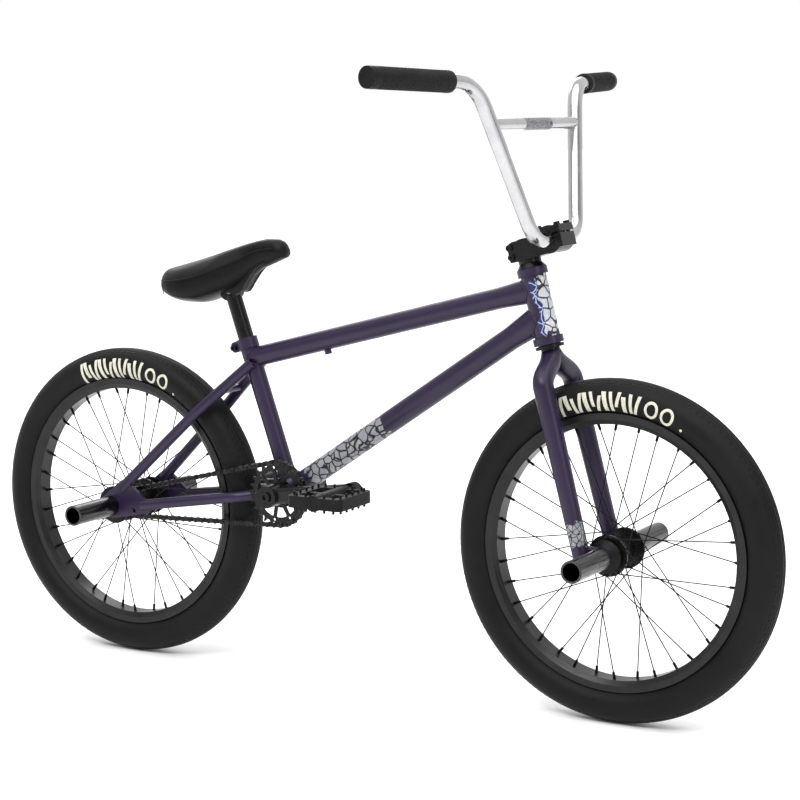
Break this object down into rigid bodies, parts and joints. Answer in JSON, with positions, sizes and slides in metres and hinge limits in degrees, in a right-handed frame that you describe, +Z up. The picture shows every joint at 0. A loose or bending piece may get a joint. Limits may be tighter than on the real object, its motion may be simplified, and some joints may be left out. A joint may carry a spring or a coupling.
{
  "type": "bmx_bike",
  "caption": "BMX bike with matte dark purple frame and fork, chrome handlebar with crossbar, black wheels, pegs, pivotal seat and platform pedals; no brakes or cables.",
  "frame": {"origin": "on the ground, midway between the wheels' contact points", "axes": "+X forward, +Y to the rider's left, +Z up"},
  "size_m": [1.4, 0.7608, 0.9568],
  "materials": {
    "purple_paint": "matte dark purple paint",
    "black_metal": "black anodised or painted metal",
    "bearing_steel": "plain steel",
    "dark_chrome": "black chrome tube",
    "bar_chrome": "bright chrome",
    "spoke_black": "black spokes and nipples",
    "chain_black": "black chain",
    "tyre_rubber": "black tyre rubber",
    "tube_rubber": "plain rubber",
    "grip_rubber": "soft black rubber with ribs",
    "black_plastic": "moulded black plastic",
    "pedal_plastic": "moulded black pedal plastic",
    "seat_fabric": "black padded seat cover"
  },
  "bodies": {
    "frame": {"head_tube": "purple_paint", "top_tube": "purple_paint", "down_tube": "purple_paint", "seat_tube": "purple_paint", "bottom_bracket_shell": "purple_paint", "chain_stays": "purple_paint", "seat_stays": "purple_paint", "stay_bridge": "purple_paint", "rear_dropouts": "purple_paint", "cable_boss": "purple_paint", "seat_clamp_bolt": "black_metal", "headset_bearings": "bearing_steel", "bottom_bracket_bearings": "bearing_steel", "rear_axle": "black_metal", "rear_hub_guards": "black_plastic", "rear_pegs": "dark_chrome", "chain_outer_links": "chain_black", "chain_inner_links": "chain_black"},
    "fork": {"fork_steerer": "black_metal", "fork_legs": "purple_paint", "fork_dropouts": "purple_paint", "headset_cover": "black_metal", "stem_body": "black_metal", "stem_cap": "black_metal", "stem_bolts": "black_metal", "steerer_top_bolt": "black_metal", "front_axle": "black_metal", "front_hub_guards": "black_plastic", "front_pegs": "dark_chrome"},
    "handlebar": {"handlebar": "bar_chrome", "grips": "grip_rubber", "bar_end_plugs": "black_plastic"},
    "front_wheel": {"front_tyre": "tyre_rubber", "front_inner_tube": "tube_rubber", "front_rim": "black_metal", "front_spokes": "spoke_black", "front_nipples": "spoke_black", "front_hub": "black_metal", "front_hub_bearings": "bearing_steel"},
    "rear_wheel": {"rear_tyre": "tyre_rubber", "rear_inner_tube": "tube_rubber", "rear_rim": "black_metal", "rear_spokes": "spoke_black", "rear_nipples": "spoke_black", "rear_hub": "black_metal", "rear_hub_bearings": "bearing_steel"},
    "driver": {"driver": "bearing_steel"},
    "crank": {"crank_spindle": "bearing_steel", "crank_arm_right": "black_metal", "crank_arm_left": "black_metal", "crank_end_bolts": "black_metal", "sprocket": "black_metal", "pedal_axles": "bearing_steel"},
    "pedal_right": {"pedal_right": "pedal_plastic"},
    "pedal_left": {"pedal_left": "pedal_plastic"},
    "seat_post": {"seat_post": "black_metal"},
    "seat": {"seat_base": "black_plastic", "seat_pad": "seat_fabric", "seat_bolt": "bearing_steel"}
  },
  "joints": [
    {"name": "steering", "type": "hinge", "parent": "frame", "child": "fork", "pos_m": [0.33258, 0, 0.5575], "axis": [-0.2554, 0, 0.9668], "continuous": true},
    {"name": "handlebar_roll", "type": "hinge", "parent": "fork", "child": "handlebar", "pos_m": [0.34186, 0, 0.71221], "axis": [0, 1, 0], "range_deg": [-15, 15]},
    {"name": "front_wheel_spin", "type": "hinge", "parent": "fork", "child": "front_wheel", "pos_m": [0.443, 0, 0.257], "axis": [0, 1, 0], "continuous": true},
    {"name": "rear_wheel_spin", "type": "hinge", "parent": "frame", "child": "rear_wheel", "pos_m": [-0.443, 0, 0.257], "axis": [0, 1, 0], "continuous": true},
    {"name": "crank_spin", "type": "hinge", "parent": "frame", "child": "crank", "pos_m": [-0.12379, 0, 0.301], "axis": [0, 1, 0], "continuous": true, "deforming": ["chain_outer_links", "chain_inner_links"]},
    {"name": "driver_spin", "type": "hinge", "parent": "frame", "child": "driver", "pos_m": [-0.443, 0, 0.257], "axis": [0, 1, 0], "continuous": true},
    {"name": "pedal_right_spin", "type": "hinge", "parent": "crank", "child": "pedal_right", "pos_m": [0.03939, 0, 0.32539], "axis": [0, 1, 0], "continuous": true},
    {"name": "pedal_left_spin", "type": "hinge", "parent": "crank", "child": "pedal_left", "pos_m": [-0.28698, 0, 0.27661], "axis": [0, 1, 0], "continuous": true},
    {"name": "seat_height", "type": "slide", "parent": "frame", "child": "seat_post", "axis": [-0.3239, 0, 0.9461], "range_m": [-0.05, 0.04]},
    {"name": "seat_tilt", "type": "hinge", "parent": "seat_post", "child": "seat", "pos_m": [-0.23231, 0, 0.61794], "axis": [0, 1, 0], "range_deg": [-10, 10]}
  ],
  "couplings": [
    {"joint": "driver_spin", "follows": "crank_spin", "ratio": 2.7778}
  ]
}
